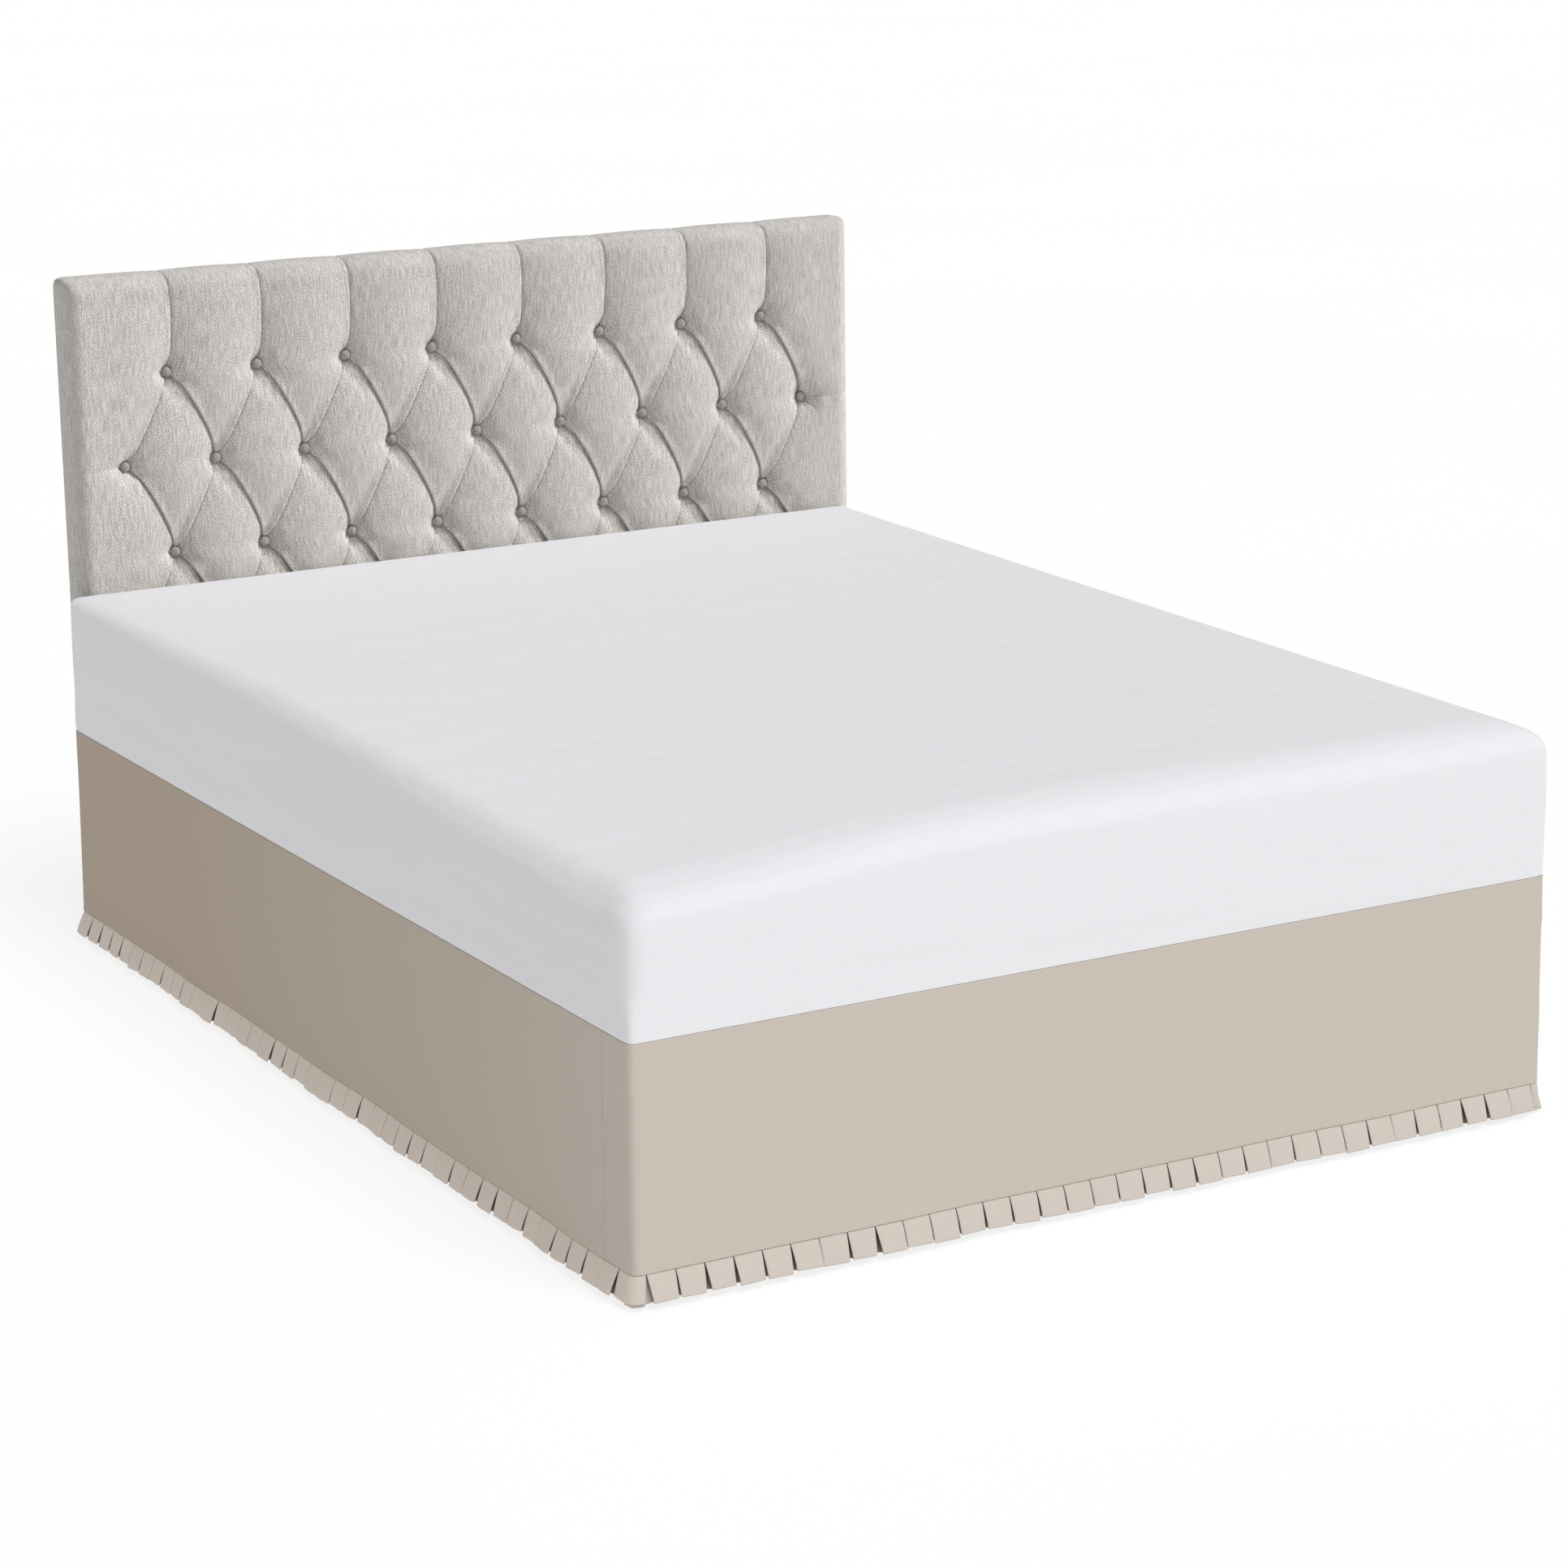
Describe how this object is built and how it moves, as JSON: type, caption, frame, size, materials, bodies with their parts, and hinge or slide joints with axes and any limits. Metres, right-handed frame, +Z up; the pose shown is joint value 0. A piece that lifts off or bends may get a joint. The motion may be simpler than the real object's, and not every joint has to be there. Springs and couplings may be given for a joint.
{
  "type": "bed skirt on a bed",
  "caption": "Tailored bed skirt with a narrow box-pleated hem, on a mattress and base with legs, before a button-tufted upholstered headboard.",
  "frame": {"origin": "on the floor, under the middle of the whole object's box", "axes": "+X across the bed, to the right as seen from its foot; +Y along the bed, from the foot to the headboard; +Z up"},
  "size_m": [1.5597, 2.1055, 1.13],
  "materials": {
    "taupe_cotton": "smooth plain weave",
    "deck_cloth": "plain white platform cloth",
    "white_sheet": "smooth fitted sheet",
    "grey_linen": "heathered linen weave",
    "base_cover": "plain cover",
    "dark_wood": "satin lacquer"
  },
  "bodies": {
    "root": {"panel_left": "taupe_cotton", "panel_foot": "taupe_cotton", "panel_right": "taupe_cotton", "band_left": "taupe_cotton", "band_foot": "taupe_cotton", "band_right": "taupe_cotton", "deck": "deck_cloth", "mattress": "white_sheet", "base": "base_cover", "headboard_pad": "grey_linen", "headboard_lower_panel": "grey_linen", "leg_1": "dark_wood", "leg_2": "dark_wood", "leg_3": "dark_wood", "leg_4": "dark_wood", "leg_5": "dark_wood", "leg_6": "dark_wood", "button_01": "grey_linen", "button_02": "grey_linen", "button_03": "grey_linen", "button_04": "grey_linen", "button_05": "grey_linen", "button_06": "grey_linen", "button_07": "grey_linen", "button_08": "grey_linen", "button_09": "grey_linen", "button_10": "grey_linen", "button_11": "grey_linen", "button_12": "grey_linen", "button_13": "grey_linen", "button_14": "grey_linen", "button_15": "grey_linen", "button_16": "grey_linen", "button_17": "grey_linen", "button_18": "grey_linen", "button_19": "grey_linen", "button_20": "grey_linen", "button_21": "grey_linen", "button_22": "grey_linen", "button_23": "grey_linen", "button_24": "grey_linen", "button_25": "grey_linen"}
  },
  "joints": []
}
